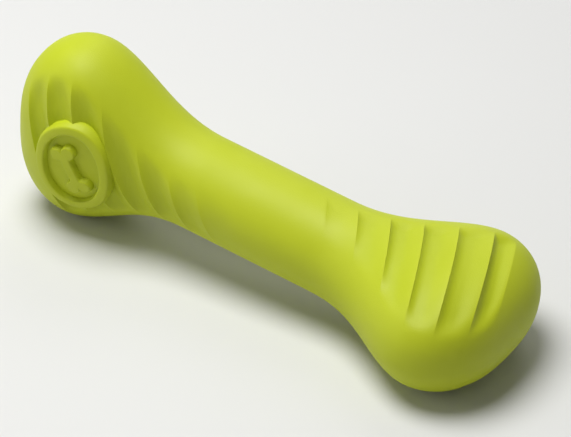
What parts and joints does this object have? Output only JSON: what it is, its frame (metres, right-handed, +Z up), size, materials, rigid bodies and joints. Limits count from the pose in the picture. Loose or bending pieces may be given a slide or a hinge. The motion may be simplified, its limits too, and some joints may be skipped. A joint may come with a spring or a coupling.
{
  "type": "rubber chew bone",
  "caption": "Moulded rubber chew bone for a dog: a round bar with flared ends turned across each other, slanted grip ribs on their faces and a raised badge.",
  "frame": {"origin": "centre of the bounding box, on the ground that the bone rests on", "axes": "+X along the bone from the upright end with the badge towards the end that lies flat, +Y away from the badge, +Z up"},
  "size_m": [0.2096, 0.0784, 0.0772],
  "materials": {
    "lime_rubber": "soft satin"
  },
  "bodies": {
    "root": {"bone_body": "lime_rubber", "badge_ring": "lime_rubber", "badge_bone": "lime_rubber"}
  },
  "joints": []
}
